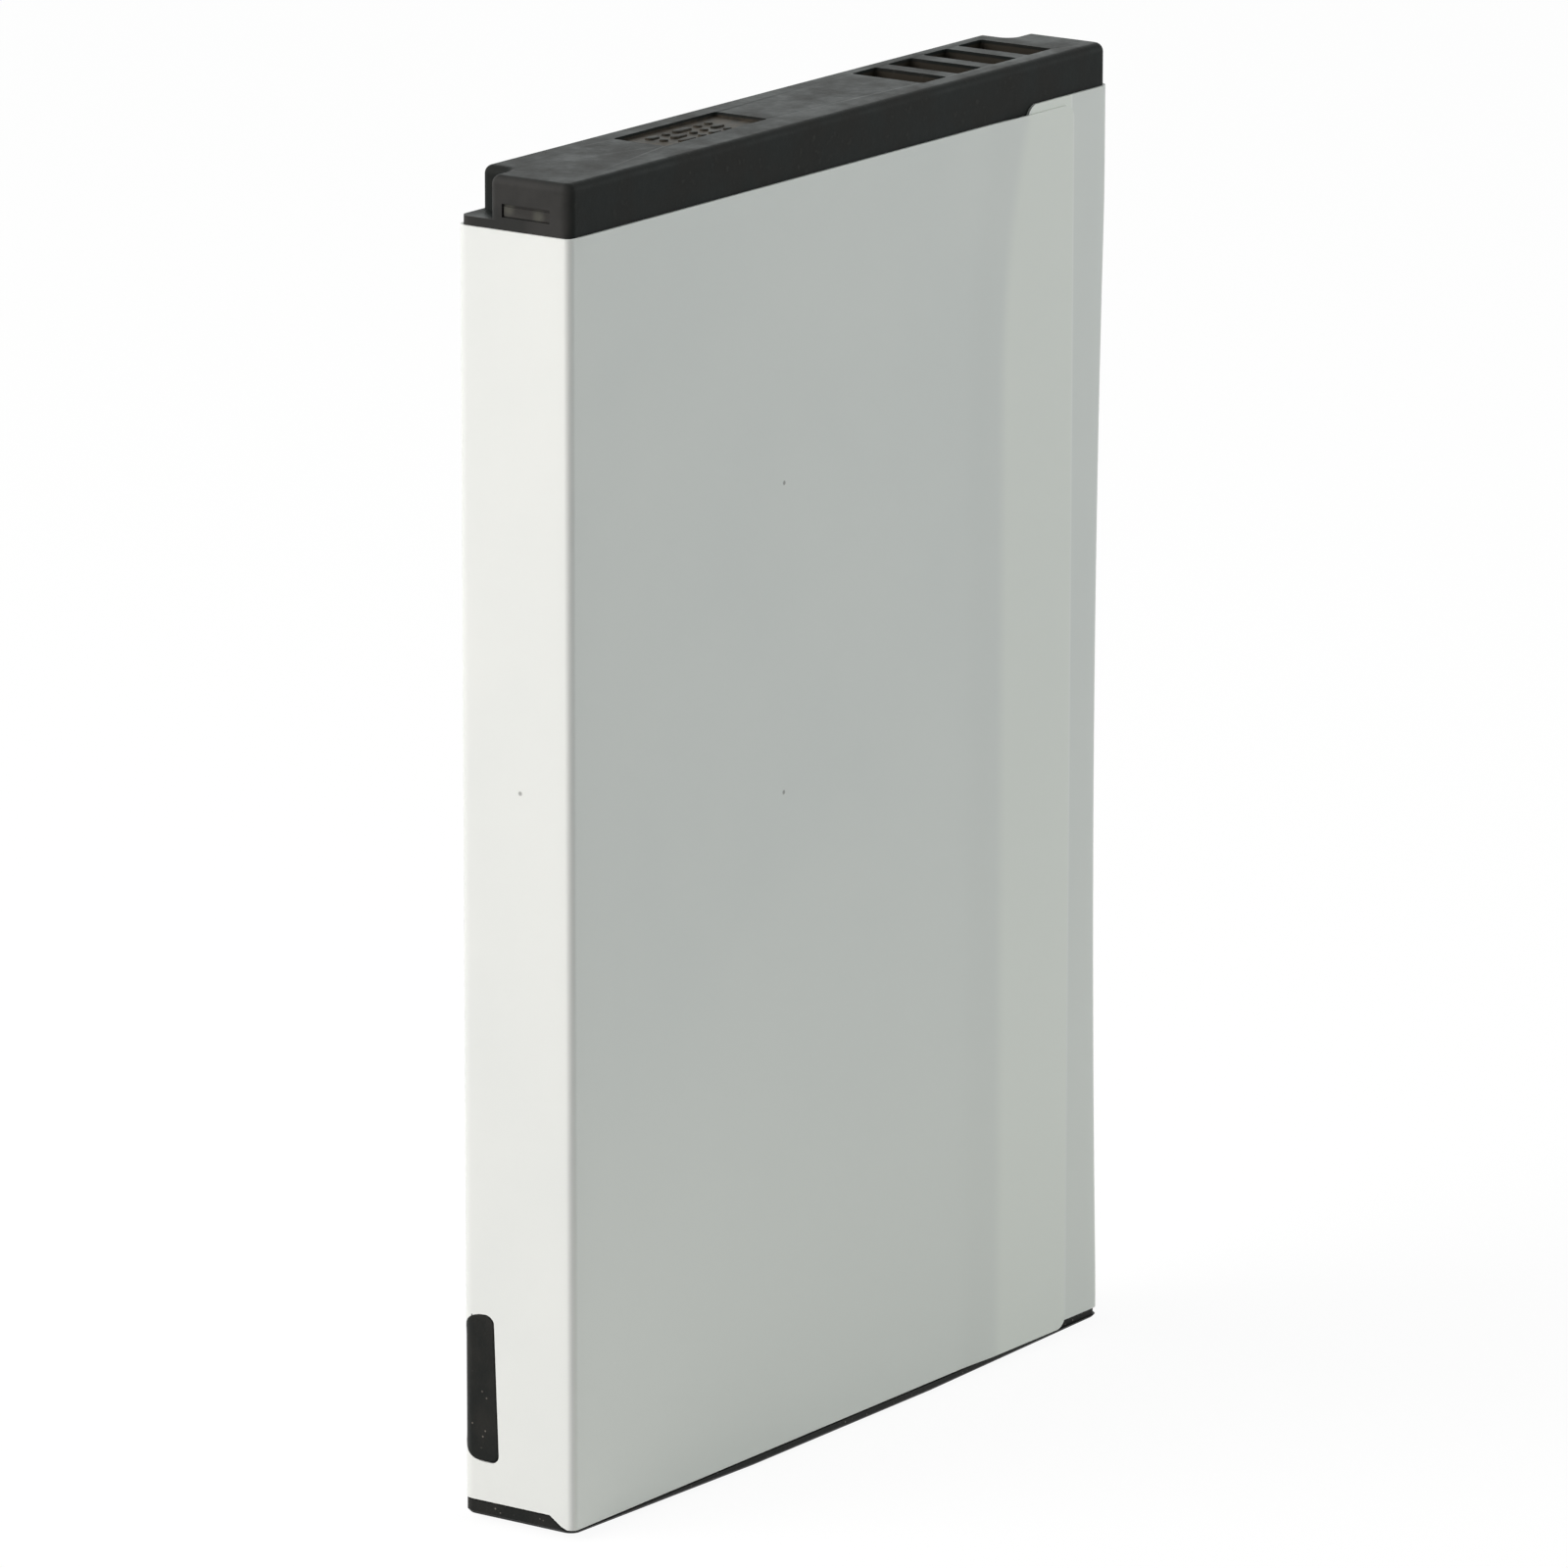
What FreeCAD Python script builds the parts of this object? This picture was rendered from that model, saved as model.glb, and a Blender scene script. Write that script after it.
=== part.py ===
import FreeCAD, Part
import math
import os

from FreeCAD import Vector

# A flat rechargeable battery pack for a handheld computer, standing on its foot.
# X runs across the broad faces, Y through the thickness with the front at -Y, and Z up.
# The origin is the middle of the foot. Sizes are millimetres.

# Moulded outline, without the film
PACK_WIDTH = 41.4
PACK_DEPTH = 5.9
PACK_HEIGHT = 60.8
EDGE_RADIUS = 0.5  # upright edges of frame and cap
WAIST = 0.5  # how far the right side is drawn in at half height
WAIST_BLEND = 4.0  # height over which the waist begins and ends
FIT = 0.05  # clearance round a seated piece

# Foot and side rails of the frame
FOOT_WIDTH = 14.0  # flat land the pack stands on
CROWN_RISE = 0.28  # how far the foot slopes up towards its ends
FOOT_CHAMFER = 0.15  # lower edges of the foot
FOOT_WALL = 1.4
RAIL_WALL = 1.45  # a rail where it is thinnest, beside the can
RAIL_LIP = 1.15  # how far a rail's lips reach round the can

# Top cap
CAP_HEIGHT = 5.1
CAP_ROOF = 1.2
CAP_WALL = 0.75  # front and rear walls of the board space
CAP_END = 2.1  # end walls of the board space
CAP_TOP_RADIUS = 0.4
SHELF = 0.35  # step in the cap that the board bears on
RIB = 0.6  # cross ribs under the roof
RIB_BAYS = 4
NOTCH_WIDTH = 1.6
NOTCH_DEPTH = 1.6
LEDGE = 0.4  # floor of a notch above the front panel of the label
NOTCH_RADIUS = 0.4

# Contact slots, counted from the right end
SLOT_COUNT = 4
SLOT_WIDTH = 1.9
SLOT_PITCH = 2.8
SLOT_END_WALL = 2.9  # right end of the cap to the last slot
SLOT_FRONT_WALL = 1.1
SLOT_REAR_WALL = 0.9
SLOT_RADIUS = 0.15
SLOT_SIDE_WALL = 0.8  # left of the first slot, inside the cap
CONTACT_HEIGHT = 0.4
CONTACT_MARGIN = 0.1  # between a contact and its slot

# Sunk panel in the top of the cap
PANEL_LENGTH = 7.7
PANEL_WIDTH = 2.85
PANEL_DEPTH = 0.2
PANEL_FROM_LEFT = 9.6
PANEL_FROM_FRONT = 1.85
PANEL_RADIUS = 0.2

# Snap tongues of the frame, with nubs in windows of the cap's ends
WINDOW_HEIGHT = 0.6
WINDOW_LIFT = 0.15  # window above the highest edge of the label
WINDOW_FROM_FRONT = 1.05
WINDOW_REAR_WALL = 0.7  # window to notch
WINDOW_WALL = 0.6  # thickness of the wall that a window goes through
TONGUE = 0.7  # thickness of a tongue
TONGUE_HEAD = 0.15  # how far a tongue reaches above its nub
NUB_SINK = 0.08  # nub face behind the end of the cap
NUB_LAND = 0.42  # height of the nub's upright face

# Cell
CAN_SIDE_FLAT = 0.7  # flat stretch between the round corners of a narrow side
CAN_FOOT_RADIUS = 0.6
TAPE = 0.1  # adhesive pad under the can
TAPE_MARGIN = 0.7
WELD_INSET = 0.45  # groove of the lid's weld, from the can's side
WELD_GROOVE = 0.15
WELD_DEPTH = 0.1
PLUG_DIAMETER = 1.4  # sealed filling hole in the lid
PLUG_FROM_SIDE = 5.8
PLUG_DEPTH = 0.12

# Terminal of the cell, in the middle of the lid
SHANK_DIAMETER = 1.1
SLEEVE_WALL = 0.4
SLEEVE_DEPTH = 0.7
GASKET = 0.3
GASKET_MARGIN = 0.25  # gasket beyond the terminal plate
TERMINAL_LENGTH = 4.2
TERMINAL_PLATE = 0.3
HEAD_DIAMETER = 1.6
HEAD_HEIGHT = 0.25

# Sheet on the lid, board and strips
SHEET = 0.2
SHEET_MARGIN = 0.1  # board space to sheet
SHEET_BORDER = 0.65  # sheet beside the terminal's hole
SHEET_HOLE_MARGIN = 0.2
BOARD = 0.8
BOARD_CLEARANCE = 0.4  # fuse to underside of the board
BOARD_RADIUS = 0.4
STRIP = 0.15  # nickel
STRIP_WIDTH = 2.0
STRIP_BEND = 0.4
POSITIVE_FROM_END = 2.2  # end of the board space to the positive strip
POSITIVE_LENGTH = 3.4
WELD_LAP = 1.0  # negative strip on the terminal plate
FUSE_FROM_TERMINAL = 3.5
FUSE_LENGTH = 5.0
FUSE_WIDTH = 2.8
FUSE_HEIGHT = 0.9
FUSE_RADIUS = 0.25
FUSE_STRIP_STEP = 2.2  # fuse to the upright part of its strip
FUSE_STRIP_LAP = 3.0  # fuse strip under the board

# Parts on the underside of the board: length in X, width in Y, height
TRANSISTOR = (3.0, 2.6, 0.9)
FILTER_CAPACITOR = (0.5, 1.0, 0.5)
CHIP = (2.9, 1.6, 1.0)
SENSE_RESISTOR = (0.8, 1.6, 0.45)
THERMISTOR = (0.8, 1.6, 0.55)
IDENTITY_RESISTOR = (0.5, 1.0, 0.35)
PART_GAP = 0.4
TRANSISTOR_LEGS = 4
CHIP_LEGS = 3
LEG_WIDTH = 0.32
LEG = 0.15
LEG_REACH = 0.55  # legs beyond the body
LEG_KNEE = 0.25  # body to the bend of a leg

# Label film
FILM = 0.12
LABEL_TOP_DROP = 2.35  # top of the cap to the upper edge of the front panel
LABEL_RISE = 0.47  # foot to the lower edge of the front panel
LABEL_SIDE_RISE = 1.0  # foot to the lower edge of the other panels
LABEL_SIDE_SLOPE = 0.8  # length of the slanted end of a side panel's lower edge
LABEL_SIDE_FRONT = 0.4  # front face to the slanted end
LABEL_END_GAP = 3.0  # right side to the film's outer end
LABEL_CORNER = 0.7
FLAP_REACH = 8.6  # right side to the film's inner end, on the front
FLAP_TAPER = 2.2  # how far the inner end draws back towards the top
FLAP_TAPER_HEIGHT = 12.5
FLAP_LIFT = 0.4  # inner end stands higher than the front panel
FLAP_RISE = 0.75  # foot to the lower edge of the inner end
JOGGLE = 0.3  # step of the outer film beside the inner end
HOLE_BOTTOM = 2.8  # cut-out over the left rear edge
HOLE_HEIGHT = 6.8
HOLE_TURN = 30.0  # degrees that the cut is turned from the side towards the rear
HOLE_SIDE_REACH = 1.55  # across the cut, from the middle of the rounded edge to the front
HOLE_REAR_REACH = 0.34  # and to the rear
HOLE_LEAN = 0.22  # how far its front edge draws back towards the top
HOLE_FRONT_RADIUS = 0.4
HOLE_REAR_RADIUS = 0.75
RECESS_MARGIN = 0.07  # film to the edge of the recess in the frame that it lies in

HALF_WIDTH = PACK_WIDTH / 2
HALF_DEPTH = PACK_DEPTH / 2
NOTCH_DROP = LABEL_TOP_DROP - LEDGE  # top of the cap to the floor of a notch
SEAM = PACK_HEIGHT - CAP_HEIGHT  # cap, rails and lid of the cell meet here
CAN_HALF_WIDTH = HALF_WIDTH - RAIL_WALL - FIT
CAN_RADIUS = (PACK_DEPTH - CAN_SIDE_FLAT) / 2
SPACE_HALF_WIDTH = HALF_WIDTH - CAP_END
SPACE_HALF_DEPTH = HALF_DEPTH - CAP_WALL
FUSE_TOP = SEAM + SHEET + FUSE_HEIGHT
BOARD_BOTTOM = FUSE_TOP + BOARD_CLEARANCE
BOARD_TOP = BOARD_BOTTOM + BOARD
SLOT_FRONT = SLOT_FRONT_WALL - HALF_DEPTH
SLOT_REAR = HALF_DEPTH - SLOT_REAR_WALL
FIRST_SLOT = HALF_WIDTH - SLOT_END_WALL - SLOT_WIDTH - SLOT_PITCH * (SLOT_COUNT - 1)
LABEL_TOP = PACK_HEIGHT - LABEL_TOP_DROP
FLAP_TOP = LABEL_TOP + FLAP_LIFT
WINDOW_BOTTOM = FLAP_TOP + WINDOW_LIFT
WINDOW_TOP = WINDOW_BOTTOM + WINDOW_HEIGHT
WINDOW_FRONT = WINDOW_FROM_FRONT - HALF_DEPTH
WINDOW_WIDTH = PACK_DEPTH - NOTCH_DEPTH - WINDOW_REAR_WALL - WINDOW_FROM_FRONT
SLEEVE_RADIUS = SHANK_DIAMETER / 2 + SLEEVE_WALL
TERMINAL_TOP = SEAM + GASKET + TERMINAL_PLATE
TERMINAL_HALF_WIDTH = SPACE_HALF_DEPTH - SHEET_MARGIN - SHEET_BORDER - SHEET_HOLE_MARGIN - GASKET_MARGIN
POSITIVE_LEFT = POSITIVE_FROM_END - SPACE_HALF_WIDTH
POSITIVE_RIGHT = POSITIVE_LEFT + POSITIVE_LENGTH
FUSE_LEFT = TERMINAL_LENGTH / 2 + FUSE_FROM_TERMINAL
FUSE_RIGHT = FUSE_LEFT + FUSE_LENGTH
FLAP_END = HALF_WIDTH - FLAP_REACH


def box(x0, x1, y0, y1, z0, z1):
    corner = Vector(x0, y0, z0)
    return Part.makeBox(x1 - x0, y1 - y0, z1 - z0, corner)


def slab(bottom, top):
    """Everything between two levels."""
    return box(-PACK_WIDTH, PACK_WIDTH, -PACK_DEPTH, PACK_DEPTH, bottom, top)


def upright_edges(shape):
    upright = []
    for edge in shape.Edges:
        size = edge.BoundBox
        if size.ZLength > 3 * max(size.XLength, size.YLength):
            upright.append(edge)
    return upright


def rounded_box(x0, x1, y0, y1, z0, z1, radius):
    block = box(x0, x1, y0, y1, z0, z1)
    edges = [edge for edge in block.Edges if edge.BoundBox.ZLength > (z1 - z0) / 2]
    return block.makeFillet(radius, edges)


def plate(half_x, half_y, bottom, top, radius):
    """Block in the middle of the pack, with rounded upright edges."""
    return rounded_box(-half_x, half_x, -half_y, half_y, bottom, top, radius)


def level_edges(shape, z):
    """Edges that lie wholly at one level."""
    return [edge for edge in shape.Edges if max(abs(v.Z - z) for v in edge.Vertexes) < FIT / 2]


def prism(points, along):
    """Straight-sided outline pushed along a direction."""
    outline = Part.makePolygon(points + points[:1])
    return Part.Face(outline).extrude(along)


def bent_path(points, radius):
    """Straight runs joined by tangent arcs."""
    edges = []
    start = points[0]
    for before, corner, after in zip(points, points[1:], points[2:]):
        back = (before - corner).normalize()
        onward = (after - corner).normalize()
        half_angle = back.getAngle(onward) / 2
        entry = corner + back * (radius / math.tan(half_angle))
        leave = corner + onward * (radius / math.tan(half_angle))
        inside = (back + onward).normalize()
        middle = corner + inside * (radius / math.sin(half_angle) - radius)
        edges.append(Part.makeLine(start, entry))
        edges.append(Part.Arc(entry, middle, leave).toShape())
        start = leave
    edges.append(Part.makeLine(start, points[-1]))
    return Part.Wire(edges)


def folded_strip(points, thickness, width, radius):
    """Flat strip folded in the XZ plane, its thickness on the left of its path."""
    path = bent_path(points, radius)
    side = path.makeOffset2D(thickness, 0, True, True)
    strip = side.extrude(Vector(0, width, 0))
    strip.translate(Vector(0, -width / 2, 0))
    return strip


def waist_edges(x, y):
    """Right side below the cap: one long arc drawn in, with a blending arc at either end."""
    turn = 2 * math.atan(2 * WAIST / SEAM)
    blend_radius = WAIST_BLEND / math.sin(turn)
    waist_radius = (SEAM / 2 - WAIST_BLEND) / math.sin(turn)

    def blend(level, angle):
        inset = blend_radius * (1 - math.cos(angle))
        return Vector(x - inset, y, level + blend_radius * math.sin(angle))

    def waist(angle):
        inset = WAIST - waist_radius * (1 - math.cos(angle))
        return Vector(x - inset, y, SEAM / 2 + waist_radius * math.sin(angle))

    return [
        Part.Arc(blend(0, 0), blend(0, turn / 2), waist(-turn)).toShape(),
        Part.Arc(waist(-turn), waist(0), waist(turn)).toShape(),
        Part.Arc(waist(turn), blend(SEAM, -turn / 2), blend(SEAM, 0)).toShape(),
    ]


def pack_outline(grow):
    """Whole pack with rounded upright edges, grown on all sides by a film's thickness or by nothing."""
    half_width = HALF_WIDTH + grow
    half_depth = HALF_DEPTH + grow
    seam_right = Vector(half_width, -half_depth, SEAM)
    upper_right = Vector(half_width, -half_depth, PACK_HEIGHT)
    upper_left = Vector(-half_width, -half_depth, PACK_HEIGHT)
    lower_left = Vector(-half_width, -half_depth, 0)
    lower_right = Vector(half_width, -half_depth, 0)
    outline = Part.Wire(waist_edges(half_width, -half_depth) + [
        Part.makeLine(seam_right, upper_right),
        Part.makeLine(upper_right, upper_left),
        Part.makeLine(upper_left, lower_left),
        Part.makeLine(lower_left, lower_right),
    ])
    block = Part.Face(outline).extrude(Vector(0, 2 * half_depth, 0))
    return block.makeFillet(EDGE_RADIUS + grow, upright_edges(block))


def crown():
    """Everything above the foot's underside: a flat land with a slope rising to either end."""
    land = FOOT_WIDTH / 2
    end = HALF_WIDTH + FILM
    return prism([
        Vector(-land, -PACK_DEPTH, 0),
        Vector(land, -PACK_DEPTH, 0),
        Vector(end, -PACK_DEPTH, CROWN_RISE),
        Vector(end, -PACK_DEPTH, SEAM),
        Vector(-end, -PACK_DEPTH, SEAM),
        Vector(-end, -PACK_DEPTH, CROWN_RISE),
    ], Vector(0, 2 * PACK_DEPTH, 0))


def can_section(grow, bottom, top):
    return plate(CAN_HALF_WIDTH + grow, HALF_DEPTH + grow, bottom, top, CAN_RADIUS + grow)


def mirrored(shape):
    return shape.mirror(Vector(0, 0, 0), Vector(1, 0, 0))


def tongue_plate(gap):
    """Plate of the right tongue, or with a gap the room that the cap leaves for it."""
    outer = HALF_WIDTH - WINDOW_WALL - FIT
    inner = outer - TONGUE
    front = WINDOW_FRONT + FIT
    rear = WINDOW_FRONT + WINDOW_WIDTH - FIT
    top = WINDOW_TOP + TONGUE_HEAD
    return box(inner - gap, outer + gap, front - gap, rear + gap, SEAM, top + gap)


def right_tongue():
    face = HALF_WIDTH - NUB_SINK
    root = HALF_WIDTH - WINDOW_WALL - FIT
    front = WINDOW_FRONT + FIT
    bottom = WINDOW_BOTTOM + FIT
    wedge = [
        Vector(root, front, bottom),
        Vector(face, front, bottom),
        Vector(face, front, bottom + NUB_LAND),
        Vector(root, front, WINDOW_TOP - FIT),
    ]
    nub = prism(wedge, Vector(0, WINDOW_WIDTH - 2 * FIT, 0))
    return tongue_plate(0).fuse(nub)


def side_frame():
    """U of foot and rails, flush with the film wherever the film leaves it bare."""
    block = pack_outline(FILM).common(crown())
    block = block.makeChamfer(FOOT_CHAMFER, foot_edges(block))
    bare = [below_label(RECESS_MARGIN), rear_hole(RECESS_MARGIN)]
    frame = block.common(pack_outline(0).fuse(bare))
    can_room = can_section(FIT, FOOT_WALL, SEAM + CAP_HEIGHT)
    opening = HALF_WIDTH - RAIL_WALL - RAIL_LIP
    broad_faces = box(-opening, opening, -PACK_DEPTH, PACK_DEPTH, FOOT_WALL, PACK_HEIGHT)
    frame = frame.cut(can_room).cut(broad_faces)
    tongue = right_tongue()
    return frame.fuse([tongue, mirrored(tongue)]).removeSplitter()


def foot_edges(frame):
    """Rim of the foot's underside."""
    rim = []
    for edge in frame.Edges:
        low = edge.BoundBox.ZMax < CROWN_RISE + EDGE_RADIUS
        across = edge.BoundBox.YLength > HALF_DEPTH and abs(edge.CenterOfMass.x) < HALF_WIDTH - EDGE_RADIUS
        if low and not across:
            rim.append(edge)
    return rim


def contact_slots():
    slots = []
    above = PACK_HEIGHT + CAP_ROOF
    for number in range(SLOT_COUNT):
        left = FIRST_SLOT + SLOT_PITCH * number
        right = left + SLOT_WIDTH
        slots.append(rounded_box(left, right, SLOT_FRONT, SLOT_REAR, SEAM, above, SLOT_RADIUS))
    return slots


def roof_bays():
    """Hollows under the roof, left of the slots, parted by cross ribs."""
    left = SHELF - SPACE_HALF_WIDTH
    right = FIRST_SLOT - SLOT_SIDE_WALL
    half_depth = SPACE_HALF_DEPTH - SHELF
    step = (right - left + RIB) / RIB_BAYS
    bays = []
    for number in range(RIB_BAYS):
        start = left + step * number
        end = start + step - RIB
        bays.append(box(start, end, -half_depth, half_depth, SEAM, PACK_HEIGHT - CAP_ROOF))
    return bays


def cap_notch():
    side = HALF_WIDTH - NOTCH_WIDTH
    front = HALF_DEPTH - NOTCH_DEPTH
    return box(side, PACK_WIDTH, front, PACK_DEPTH, PACK_HEIGHT - NOTCH_DROP, PACK_HEIGHT + NOTCH_DROP)


def cap_block():
    """Outside of the cap: notched rear corners and softened edges."""
    block = pack_outline(0).common(slab(SEAM, PACK_HEIGHT))
    block = block.cut([cap_notch(), mirrored(cap_notch())])
    corners = []
    for edge in upright_edges(block):
        short = edge.BoundBox.ZLength < NOTCH_DROP + FIT
        if short and edge.BoundBox.ZMax > PACK_HEIGHT - FIT:
            corners.append(edge)
    block = block.makeFillet(NOTCH_RADIUS, corners)
    return block.makeFillet(CAP_TOP_RADIUS, level_edges(block, PACK_HEIGHT))


def cap_window():
    rear = WINDOW_FRONT + WINDOW_WIDTH
    inner = HALF_WIDTH - WINDOW_WALL - TONGUE
    return box(inner, PACK_WIDTH, WINDOW_FRONT, rear, WINDOW_BOTTOM, WINDOW_TOP)


def sunk_panel():
    left = PANEL_FROM_LEFT - HALF_WIDTH
    right = left + PANEL_LENGTH
    front = PANEL_FROM_FRONT - HALF_DEPTH
    rear = front + PANEL_WIDTH
    floor = PACK_HEIGHT - PANEL_DEPTH
    return rounded_box(left, right, front, rear, floor, PACK_HEIGHT + PANEL_DEPTH, PANEL_RADIUS)


def top_cap():
    board_space = box(
        -SPACE_HALF_WIDTH, SPACE_HALF_WIDTH, -SPACE_HALF_DEPTH, SPACE_HALF_DEPTH, SEAM, BOARD_TOP)
    tongue_room = tongue_plate(FIT)
    hollows = [board_space, tongue_room, mirrored(tongue_room)]
    hollows += [cap_window(), mirrored(cap_window()), sunk_panel()]
    return cap_block().cut(hollows + roof_bays() + contact_slots())


def contact(number):
    left = FIRST_SLOT + SLOT_PITCH * number + CONTACT_MARGIN
    right = left + SLOT_WIDTH - 2 * CONTACT_MARGIN
    front = SLOT_FRONT + CONTACT_MARGIN
    rear = SLOT_REAR - CONTACT_MARGIN
    return rounded_box(left, right, front, rear, BOARD_TOP, BOARD_TOP + CONTACT_HEIGHT, SLOT_RADIUS)


def protection_board():
    return plate(SPACE_HALF_WIDTH - FIT, SPACE_HALF_DEPTH - FIT, BOARD_BOTTOM, BOARD_TOP, BOARD_RADIUS)


def cell_can():
    bottom = FOOT_WALL + TAPE
    can = can_section(0, bottom, SEAM)
    can = can.makeFillet(CAN_FOOT_RADIUS, level_edges(can, bottom))
    groove = can_section(-WELD_INSET, SEAM - WELD_DEPTH, SEAM + WELD_DEPTH)
    groove = groove.cut(can_section(-WELD_INSET - WELD_GROOVE, SEAM - WELD_DEPTH, SEAM + WELD_DEPTH))
    bore = Part.makeCylinder(SLEEVE_RADIUS, SLEEVE_DEPTH, Vector(0, 0, SEAM - SLEEVE_DEPTH))
    plug_base = Vector(CAN_HALF_WIDTH - PLUG_FROM_SIDE, 0, SEAM - PLUG_DEPTH)
    plug = Part.makeCylinder(PLUG_DIAMETER / 2, PLUG_DEPTH, plug_base)
    return can.cut([groove, bore, plug])


def terminal_gasket():
    half_length = TERMINAL_LENGTH / 2 + GASKET_MARGIN
    half_width = TERMINAL_HALF_WIDTH + GASKET_MARGIN
    flange = plate(half_length, half_width, SEAM, SEAM + GASKET, GASKET_MARGIN)
    base = Vector(0, 0, SEAM - SLEEVE_DEPTH)
    sleeve = Part.makeCylinder(SLEEVE_RADIUS, SLEEVE_DEPTH, base)
    bore = Part.makeCylinder(SHANK_DIAMETER / 2, SLEEVE_DEPTH + GASKET, base)
    return flange.fuse(sleeve).cut(bore)


def terminal_rivet():
    under = SEAM + GASKET
    tab = plate(TERMINAL_LENGTH / 2, TERMINAL_HALF_WIDTH, under, TERMINAL_TOP, GASKET_MARGIN)
    shank = Part.makeCylinder(SHANK_DIAMETER / 2, SLEEVE_DEPTH + GASKET, Vector(0, 0, SEAM - SLEEVE_DEPTH))
    head = Part.makeCylinder(HEAD_DIAMETER / 2, HEAD_HEIGHT, Vector(0, 0, TERMINAL_TOP))
    head = head.makeFillet(HEAD_HEIGHT / 2, level_edges(head, TERMINAL_TOP + HEAD_HEIGHT))
    return tab.fuse([shank, head])


def lid_insulator():
    top = SEAM + SHEET
    sheet = plate(SPACE_HALF_WIDTH - SHEET_MARGIN, SPACE_HALF_DEPTH - SHEET_MARGIN, SEAM, top, BOARD_RADIUS)
    margin = GASKET_MARGIN + SHEET_HOLE_MARGIN
    terminal_hole = plate(TERMINAL_LENGTH / 2 + margin, TERMINAL_HALF_WIDTH + margin, SEAM, top, margin)
    left = POSITIVE_LEFT - SHEET_HOLE_MARGIN
    right = POSITIVE_RIGHT + SHEET_HOLE_MARGIN
    side = STRIP_WIDTH / 2 + SHEET_HOLE_MARGIN
    strip_hole = rounded_box(left, right, -side, side, SEAM, top, SHEET_HOLE_MARGIN)
    return sheet.cut([terminal_hole, strip_hole])


def positive_strip():
    points = [
        Vector(POSITIVE_LEFT, 0, SEAM),
        Vector(POSITIVE_RIGHT, 0, SEAM),
        Vector(POSITIVE_RIGHT, 0, BOARD_BOTTOM),
        Vector(POSITIVE_LEFT, 0, BOARD_BOTTOM),
    ]
    return folded_strip(points, STRIP, STRIP_WIDTH, STRIP_BEND)


def negative_strip():
    left = TERMINAL_LENGTH / 2 - WELD_LAP
    half_width = STRIP_WIDTH / 2
    return box(left, FUSE_LEFT, -half_width, half_width, TERMINAL_TOP, TERMINAL_TOP + STRIP)


def thermal_fuse():
    half_width = FUSE_WIDTH / 2
    body = box(FUSE_LEFT, FUSE_RIGHT, -half_width, half_width, SEAM + SHEET, FUSE_TOP)
    edges = [edge for edge in body.Edges if edge.BoundBox.XLength > FUSE_LENGTH / 2]
    return body.makeFillet(FUSE_RADIUS, edges)


def fuse_strip():
    bend = FUSE_RIGHT + FUSE_STRIP_STEP
    lap_level = BOARD_BOTTOM - STRIP
    points = [
        Vector(FUSE_RIGHT, 0, TERMINAL_TOP),
        Vector(bend, 0, TERMINAL_TOP),
        Vector(bend, 0, lap_level),
        Vector(bend + FUSE_STRIP_LAP, 0, lap_level),
    ]
    return folded_strip(points, STRIP, STRIP_WIDTH, (lap_level - TERMINAL_TOP) / 3)


def board_part(left, size):
    length, width, height = size
    return box(left, left + length, -width / 2, width / 2, BOARD_BOTTOM - height, BOARD_BOTTOM)


def legged_part(left, size, legs_a_side):
    """Chip body on two rows of bent legs soldered to the board."""
    length, width, height = size
    half_width = width / 2
    low = BOARD_BOTTOM - height
    body = box(left, left + length, -half_width, half_width, low, BOARD_BOTTOM - LEG / 2)
    middle = (low + BOARD_BOTTOM) / 2
    knee = half_width + LEG_KNEE
    tip = half_width + LEG_REACH
    profile = [
        (half_width - LEG, middle - LEG),
        (knee, middle - LEG),
        (knee, BOARD_BOTTOM - LEG),
        (tip, BOARD_BOTTOM - LEG),
        (tip, BOARD_BOTTOM),
        (knee - LEG, BOARD_BOTTOM),
        (knee - LEG, middle),
        (half_width - LEG, middle),
    ]
    pitch = length / legs_a_side
    legs = []
    for number in range(legs_a_side):
        start = left + pitch * (number + 0.5) - LEG_WIDTH / 2
        leg = prism([Vector(start, y, z) for y, z in profile], Vector(LEG_WIDTH, 0, 0))
        legs.append(leg)
        legs.append(leg.mirror(Vector(0, 0, 0), Vector(0, 1, 0)))
    return body.fuse(legs).removeSplitter()


def board_parts():
    """A row of parts between positive strip and terminal, and two beside the fuse."""
    transistor = POSITIVE_RIGHT + 2 * PART_GAP
    capacitor = transistor + TRANSISTOR[0] + PART_GAP
    chip = capacitor + FILTER_CAPACITOR[0] + PART_GAP
    resistor = chip + CHIP[0] + PART_GAP
    thermistor = FUSE_LEFT - THERMISTOR[0] - PART_GAP
    return {
        "switch_transistor": legged_part(transistor, TRANSISTOR, TRANSISTOR_LEGS),
        "filter_capacitor": board_part(capacitor, FILTER_CAPACITOR),
        "protection_chip": legged_part(chip, CHIP, CHIP_LEGS),
        "sense_resistor": board_part(resistor, SENSE_RESISTOR),
        "thermistor": board_part(thermistor, THERMISTOR),
        "identity_resistor": board_part(FUSE_RIGHT + PART_GAP, IDENTITY_RESISTOR),
    }


def foot_tape():
    half_width = CAN_HALF_WIDTH - CAN_RADIUS
    half_depth = HALF_DEPTH - TAPE_MARGIN
    return box(-half_width, half_width, -half_depth, half_depth, FOOT_WALL, FOOT_WALL + TAPE)


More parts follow.
